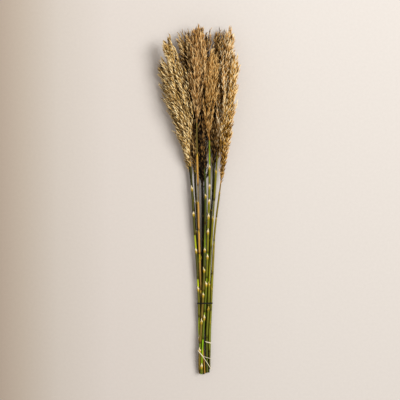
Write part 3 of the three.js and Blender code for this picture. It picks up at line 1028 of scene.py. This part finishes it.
# %% [markdown]
# ## The tie and the bands
#
# A cord pulled tight round a bunch of stems touches the outermost ones and runs straight
# between them. In any direction, the line is carried by the stem that reaches furthest
# that way, so it is enough to ask for that stem's edge in every direction in turn. The
# cord's own round section is then carried along that line.

# %% The line of a cord round some reeds
SHEATH_OUTER = 2.65 * MM


def tight_line(reeds, heights, gap, count=120):
    """For each direction, the edge point of the stem that reaches furthest, evened out
    so that the points lie the same way apart. Columns are x and z."""
    centres = np.concatenate([on_line(CULM_LINES[reed], heights) for reed in reeds])[:, [0, 2]]
    girths = np.repeat([LOOKS[reed]["girth"] for reed in reeds], len(heights))
    distance = SHEATH_OUTER * girths + gap
    angle = np.linspace(0, 2 * np.pi, 720, endpoint=False)
    ways = np.stack([np.cos(angle), np.sin(angle)], axis=1)
    outermost = (ways @ centres.T + distance).argmax(axis=1)
    edge = centres[outermost] + distance[outermost, None] * ways
    loop = np.concatenate([edge, edge[:1]])
    run = np.concatenate([[0], np.cumsum(np.linalg.norm(np.diff(loop, axis=0), axis=1))])
    even = np.linspace(0, run[-1], count, endpoint=False)
    return np.stack([np.interp(even, run, loop[:, axis]) for axis in (0, 1)], axis=1)


def round_loop(path, radius, sides=8):
    """A closed ring of round section: the path's last row joins its first."""
    along = unit(np.roll(path, -1, axis=0) - np.roll(path, 1, axis=0))
    across = unit(np.cross(along, [0, 1.0, 0]))
    over = np.cross(across, along)
    angle = np.linspace(0, 2 * np.pi, sides, endpoint=False)[None, :, None]
    spoke = np.cos(angle) * across[:, None] + np.sin(angle) * over[:, None]
    grid = path[:, None] + radius * spoke
    quads = wrapped_quads(len(path) + 1, sides) % (len(path) * sides)
    return grid.reshape(-1, 3), [quads], {}


print("a sheath's outside, where cords rest, in mm:", round(SHEATH_OUTER / MM, 2))

# %% [markdown]
# ## The black tie
#
# Two turns of thin black cord lie side by side round all ten stems, with a knot on the
# underside, where a florist would hide it. The knot is a small closed curve that
# crosses itself.

# %% Black tie: two turns of thin cord and a knot
CORD_RADIUS = 0.75 * MM
TURN_OFFSET = 0.72 * MM
TIE_SLIP = -1.5 * MM
TIE_GAP = 0.95 * MM
TIE_WAVE = 0.12 * MM
KNOT_REACH = 1.5 * MM
KNOT_DROP = 0.9 * MM
KNOT_HEIGHT = 0.5 * MM
KNOT_RADIUS = 0.5 * MM
tie_low, tie_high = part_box("black_tie")
tie_y = (tie_low[1] + tie_high[1]) / 2 + TIE_SLIP
outline = tight_line(REEDS, np.array([tie_y]), TIE_GAP)
turns = []
for offset in (-TURN_OFFSET, TURN_OFFSET):
    wave = TIE_WAVE * np.sin(np.arange(len(outline)) * 0.21 + offset / MM)
    path = np.stack([outline[:, 0], tie_y + offset + wave, outline[:, 1]], axis=1)
    turns.append(round_loop(path, CORD_RADIUS))
lowest = outline[outline[:, 1].argmin()]
knot_t = np.linspace(0, 2 * np.pi, 40, endpoint=False)
knot = np.stack([
    lowest[0] + KNOT_REACH * np.cos(2 * knot_t),
    tie_y + KNOT_REACH * np.sin(3 * knot_t),
    lowest[1] - KNOT_DROP + KNOT_HEIGHT * np.sin(knot_t),
], axis=1)
turns.append(round_loop(knot, KNOT_RADIUS))
black = band_finish("black_cord", "0b0b0a", "24221f", 0.55)
make_piece("tie_cord", *joined(turns), black, "black_tie", ["black_tie"])
print("the tie lies above the cut ends by mm:", round((tie_y - CUT_END) / MM, 1))

# %% [markdown]
# ## Cream elastic bands
#
# Three thin elastic bands hold the cut ends. Each slants across the stems, so its place
# along them is a curve of its place across them. The middle one runs beside the lower
# one and leaves it at a fork. A smooth maximum of two curves, ln(exp a + exp b), gives
# it both courses without a corner.

# %% Cream elastic bands
cream = band_finish("cream_elastic", "d9cfae", "f5eed8", 0.45)
BAND_GAP = 1.25 * MM
BAND_RADII = {"upper": 0.95 * MM, "middle": 0.42 * MM, "lower": 0.55 * MM}
BAND_APART = 1.2 * MM
FORK = np.array([10.7, -357.7]) * MM
FORK_SLOPE = -0.3


def slope_of(node):
    """How a band's place along the stems follows from its place across them: the curve
    y = a + b x + c x^2 through the CAD band's vertices."""
    points = np.concatenate(rings_of(node))
    return np.polynomial.Polynomial.fit(points[:, 0], points[:, 1], 2)


for place, radius in BAND_RADII.items():
    node = f"cream_band_{place}"
    low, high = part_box(node)
    heights = np.linspace(low[1], high[1], 3)
    held = [
        reed for reed in REEDS
        if low[0] < on_line(CULM_LINES[reed], heights[1:2])[0, 0] < high[0]
    ]
    outline = tight_line(held, heights, BAND_GAP)
    if place == "middle":
        beside = slope_of("cream_band_lower")(outline[:, 0]) + BAND_APART
        forked = FORK[1] + FORK_SLOPE * (outline[:, 0] - FORK[0])
        along = MM * np.logaddexp(beside / MM, forked / MM)
    else:
        along = slope_of(node)(outline[:, 0])
    path = np.stack([outline[:, 0], along, outline[:, 1]], axis=1)
    make_piece(f"elastic_{place}", *round_loop(path, radius), cream, "cream_band", [node])
    print(place, "band holds", len(held), "reeds")

# %% [markdown]
# ## The surface
#
# The bundle lies on plain pale paper. Its light falls off at the far left and a little
# towards the cut ends, which a ramp of near greys along each axis gives.

# %% Pale surface
SURFACE_HALF = 6.0
VIEW_WIDTH = 0.925


def paper_finish():
    """Pale paper that falls off into shade at the far left and towards the cut ends."""
    finish = Finish("pale_paper", 0.9)
    place = finish.add("ShaderNodeSeparateXYZ", {"Vector": finish.place}).outputs
    across = finish.sums(finish.sums(place["X"], VIEW_WIDTH, "DIVIDE"), 0.5)
    along = finish.sums(finish.sums(place["Y"], VIEW_WIDTH, "DIVIDE"), 0.5)
    shade = finish.ramp(across, [
        (0.0, "a99d91"), (0.06, "b6ada2"), (0.15, "c6c1bb"), (0.28, "d1cdca"), (0.75, "dad8d6"),
        (1.0, "dcdad8"),
    ])
    fall = finish.ramp(along, [(0.0, "eeedec"), (1.0, "ffffff")])
    grain = finish.ramp(finish.noise(160), [(0.2, "fafafa"), (0.8, "ffffff")])
    lit = finish.mix(1.0, shade, fall, "MULTIPLY")
    return finish.colour(finish.mix(1.0, lit, grain, "MULTIPLY"))


corners = SURFACE_HALF * np.array([[-1, -1, 0], [1, -1, 0], [1, 1, 0], [-1, 1, 0]])
floor_mesh = bpy.data.meshes.new("surface")
floor_mesh.from_pydata(corners.tolist(), [], [(0, 1, 2, 3)])
floor_mesh.materials.append(paper_finish())
floor = placed("surface", floor_mesh)
floor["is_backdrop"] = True
print("surface in metres:", 2 * SURFACE_HALF)

# %% [markdown]
# ## Camera, lamp and sky
#
# The camera looks straight down from five metres, so things hardly shrink with depth. Its
# lens is worked out from the width that it has to take in. One sun lamp with a wide disc
# stands on the right, a little towards the plumes, so soft shadows fall to the left. A
# warm dim sky fills them.

# %% Camera, lamp and sky
CAMERA_HEIGHT = 5.0
camera_data = bpy.data.cameras.new("camera")
camera_data.sensor_width = 36
camera_data.lens = camera_data.sensor_width * CAMERA_HEIGHT / VIEW_WIDTH
camera = placed("camera", camera_data)
camera.location = (4.3 * MM, 2.5 * MM, CAMERA_HEIGHT)
bpy.context.scene.camera = camera

LAMP_AZIMUTH = np.radians(14)
LAMP_ELEVATION = np.radians(55)
towards = np.array([
    np.cos(LAMP_AZIMUTH) * np.cos(LAMP_ELEVATION),
    np.sin(LAMP_AZIMUTH) * np.cos(LAMP_ELEVATION),
    np.sin(LAMP_ELEVATION),
])
lamp_data = bpy.data.lights.new("window", "SUN")
lamp_data.angle = np.radians(34)
lamp_data.energy = 3.0
lamp_data.color = (1.0, 0.965, 0.925)
lamp = placed("window", lamp_data)
lamp.location = Vector(2 * towards)
lamp.rotation_mode = "QUATERNION"
lamp.rotation_quaternion = Vector(towards).to_track_quat("Z", "Y")

world = bpy.data.worlds.new("room")
world.use_nodes = True
sky = world.node_tree.nodes["Background"].inputs
sky["Color"].default_value = (1.0, 0.9, 0.81, 1)
sky["Strength"].default_value = 0.52
bpy.context.scene.world = world
bpy.context.scene.view_settings.view_transform = "Standard"
print("lens in mm:", round(camera_data.lens, 1))

# %% [markdown]
# ## Check the size
#
# The looks have to stay in the room that the CAD model takes, so how far they reach past
# the CAD box is printed.

# %% Sizes
low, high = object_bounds()
past = np.maximum(CAD_LOW - np.array(low), 0), np.maximum(np.array(high) - CAD_HIGH, 0)
print("past the CAD box in mm:", (past[0] / MM).round(1), (past[1] / MM).round(1))
print("triangles added:", sum(TRIANGLES))
